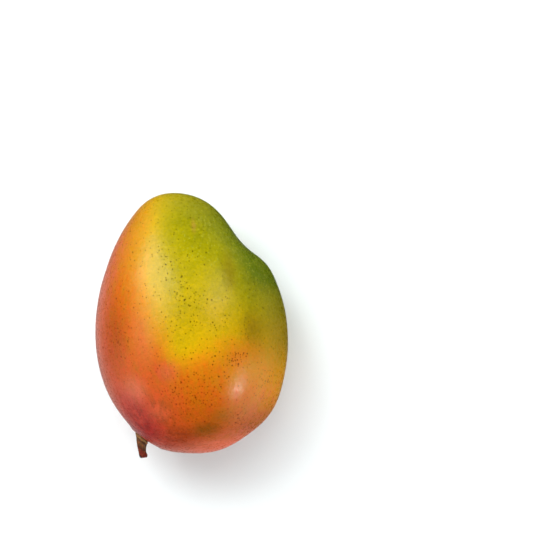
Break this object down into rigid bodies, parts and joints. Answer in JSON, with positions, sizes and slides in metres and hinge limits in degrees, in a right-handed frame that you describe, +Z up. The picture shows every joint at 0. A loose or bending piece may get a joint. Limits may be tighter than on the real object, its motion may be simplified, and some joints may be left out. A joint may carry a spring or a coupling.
{
  "type": "whole mango with stem stub",
  "caption": "Whole ripe mango lying on its cheek: an egg-shaped, slightly flattened fruit with a blunt beak, a soft hollow above it and a short woody stem stub.",
  "frame": {"origin": "on the surface that the fruit lies on, under the middle of its outline, inside the small flat rest spot", "axes": "+Y from the stem end to the apex, along the fruit's length; +X towards the beak side; +Z up, through the flat cheeks"},
  "size_m": [0.0917, 0.1251, 0.0796],
  "materials": {
    "mango_skin": "smooth waxy fruit skin, satin; yellow-green cheek with an orange-red blush and small dark lenticels",
    "woody_stalk": "dry brown stalk, matt, ribbed, with a knobbly ring at its root and a broken end"
  },
  "bodies": {
    "root": {"fruit": "mango_skin", "stem": "woody_stalk"}
  },
  "joints": []
}
